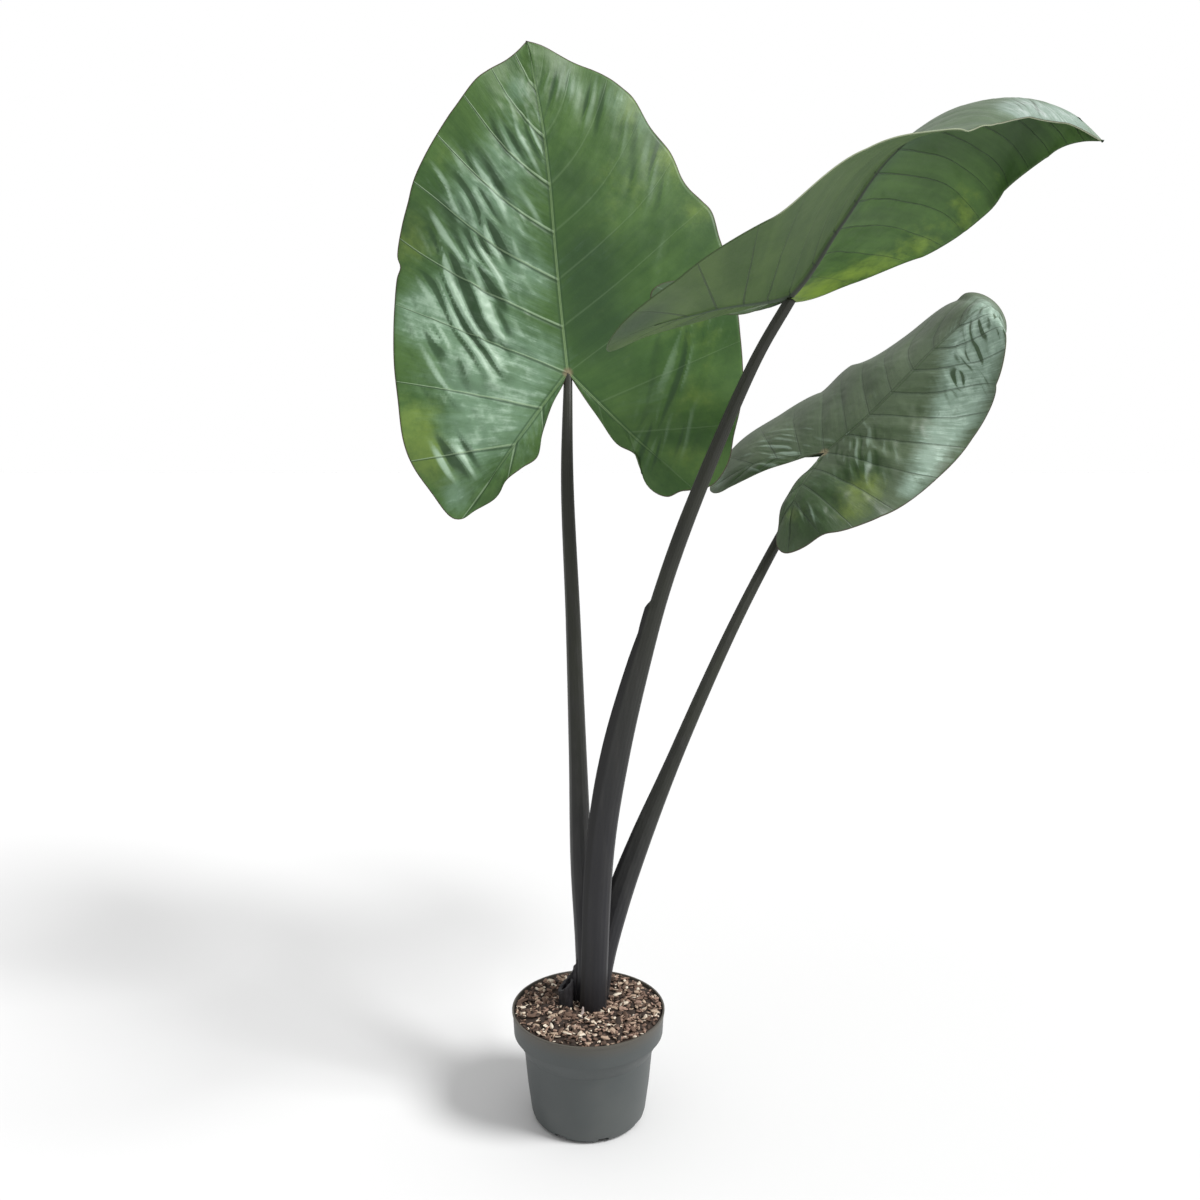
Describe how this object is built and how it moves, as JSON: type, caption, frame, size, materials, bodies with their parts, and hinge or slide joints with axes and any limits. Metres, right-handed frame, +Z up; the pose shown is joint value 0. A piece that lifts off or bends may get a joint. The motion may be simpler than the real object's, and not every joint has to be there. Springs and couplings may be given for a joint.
{
  "type": "potted giant taro plant",
  "caption": "Giant taro house plant with large arrow-shaped leaves on tall dark stalks, standing in a plain round nursery pot filled with bark mix.",
  "frame": {"origin": "middle of the pot's underside, on the surface it stands on", "axes": "+Z up, +X to the right and -Y to the front as the plant is seen with its tallest leaf facing the viewer"},
  "size_m": [0.9216, 0.7505, 1.4954],
  "materials": {
    "pot": "satin",
    "soil": "matte",
    "stalk": "satin",
    "blade": "satin",
    "stub": "matte",
    "root": "matte"
  },
  "bodies": {
    "root": {"nursery_pot": "pot", "potting_mix": "soil", "leaf_stalk_1": "stalk", "leaf_blade_1": "blade", "leaf_stalk_2": "stalk", "leaf_blade_2": "blade", "leaf_stalk_3": "stalk", "leaf_blade_3": "blade", "old_leaf_base": "stub", "root_tip": "root"}
  },
  "joints": []
}
